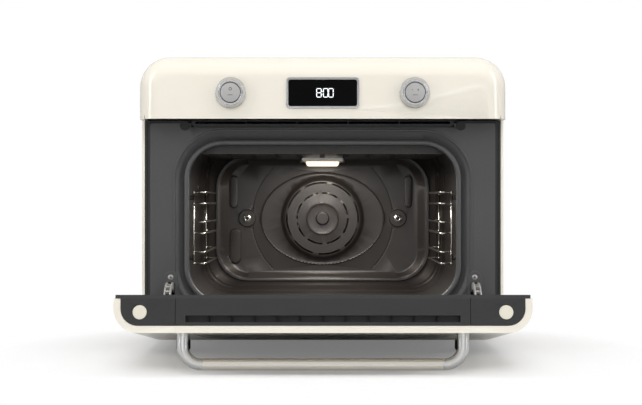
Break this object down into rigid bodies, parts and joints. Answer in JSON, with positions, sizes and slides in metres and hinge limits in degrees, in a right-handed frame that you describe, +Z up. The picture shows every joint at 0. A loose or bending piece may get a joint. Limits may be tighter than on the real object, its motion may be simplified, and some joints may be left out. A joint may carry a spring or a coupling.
{
  "type": "countertop steam oven",
  "caption": "Countertop combination steam oven with rounded hood, drop-down door, ring knobs, display, wire side racks, fan cover and a pull-out water tank.",
  "frame": {"origin": "centre of the footprint of the oven with its door open, on the worktop", "axes": "+X to the right seen from the front, +Y from the door to the back, +Z up"},
  "size_m": [0.496, 0.6964, 0.404],
  "materials": {
    "cream_enamel": "gloss",
    "frame_enamel": "satin",
    "tray_enamel": "satin",
    "cavity_enamel": "gloss",
    "zinc_sheet": "matt",
    "black_plastic": "matt",
    "dark_plastic": "satin",
    "grey_plastic": "satin",
    "cream_plastic": "gloss",
    "rubber": "matt",
    "silicone": "satin",
    "bright_steel": "polished",
    "steel": "satin",
    "chrome": "polished",
    "satin_chrome": "satin",
    "cast_aluminium": "satin",
    "display_black": "gloss",
    "tinted_glass": "gloss",
    "clear_glass": "gloss",
    "lamp_glass": "gloss",
    "mineral_wool": "fibrous",
    "board_green": "satin",
    "heater_steel": "matt"
  },
  "bodies": {
    "body": {"hood": "cream_enamel", "hood_underplate": "black_plastic", "side_panel_left": "cream_enamel", "side_panel_right": "cream_enamel", "rear_panel": "zinc_sheet", "cable_inlet": "black_plastic", "base_pan": "zinc_sheet", "feet": "rubber", "front_frame": "frame_enamel", "cavity_gasket": "silicone", "side_trims": "dark_plastic", "air_outlet": "black_plastic", "door_bumpers": "rubber", "hinge_screws": "steel", "cavity_muffle": "cavity_enamel", "insulation": "mineral_wool", "fan_cover": "cavity_enamel", "fan_cover_nuts": "bright_steel", "fan_motor": "zinc_sheet", "ring_heater": "heater_steel", "grill_heater": "heater_steel", "ceiling_panel": "cavity_enamel", "lamp_housing": "steel", "lamp_lens": "lamp_glass", "lamp_bulb": "clear_glass", "rack_left": "bright_steel", "rack_right": "bright_steel", "control_carrier": "dark_plastic", "control_board": "board_green", "display_bezel": "chrome", "display_glass": "display_black", "power_board": "board_green", "roof_plate": "zinc_sheet", "blower_housing": "zinc_sheet", "air_duct": "zinc_sheet", "tank_bay": "grey_plastic", "water_pump": "dark_plastic", "water_and_steam_lines": "silicone", "steam_generator": "cast_aluminium", "hinge_brackets": "steel"},
    "door": {"door_shell": "cream_enamel", "door_outer_glass": "tinted_glass", "door_inner_tray": "tray_enamel", "door_inner_glass": "clear_glass", "door_top_trim": "dark_plastic", "door_end_caps": "dark_plastic", "door_plugs": "cream_plastic", "handle_bar": "bright_steel", "handle_elbows": "satin_chrome", "handle_screws": "steel", "door_hinges": "steel"},
    "knob_left": {"knob_left": "chrome"},
    "knob_right": {"knob_right": "chrome"},
    "button_left": {"button_left": "satin_chrome"},
    "button_right": {"button_right": "satin_chrome"},
    "convection_fan": {"fan_impeller": "steel", "fan_shaft": "steel"},
    "cooling_fan": {"blower_wheel": "dark_plastic"},
    "water_tank": {"water_tank": "cream_plastic", "tank_lid": "grey_plastic"}
  },
  "joints": [
    {"name": "door_hinge", "type": "hinge", "parent": "body", "child": "door", "pos_m": [0, -0.0798, 0.04925], "axis": [-1, 0, 0], "range_deg": [0, 83]},
    {"name": "knob_left_turn", "type": "hinge", "parent": "body", "child": "knob_left", "pos_m": [-0.1234, -0.1088, 0.354], "axis": [0, 1, 0], "continuous": true},
    {"name": "button_left_press", "type": "slide", "parent": "body", "child": "button_left", "axis": [0, 1, 0], "range_m": [0, 0.0015], "stiffness_N_per_m": 400},
    {"name": "knob_right_turn", "type": "hinge", "parent": "body", "child": "knob_right", "pos_m": [0.1234, -0.1088, 0.354], "axis": [0, 1, 0], "continuous": true},
    {"name": "button_right_press", "type": "slide", "parent": "body", "child": "button_right", "axis": [0, 1, 0], "range_m": [0, 0.0015], "stiffness_N_per_m": 400},
    {"name": "convection_fan_spin", "type": "hinge", "parent": "body", "child": "convection_fan", "pos_m": [0, 0.2682, 0.182], "axis": [0, 1, 0], "continuous": true},
    {"name": "cooling_fan_spin", "type": "hinge", "parent": "body", "child": "cooling_fan", "pos_m": [0.086, 0.2682, 0.3092], "axis": [0, 0, 1], "continuous": true},
    {"name": "water_tank_slide", "type": "slide", "parent": "body", "child": "water_tank", "axis": [1, 0, 0], "range_m": [0, 0.045]}
  ]
}
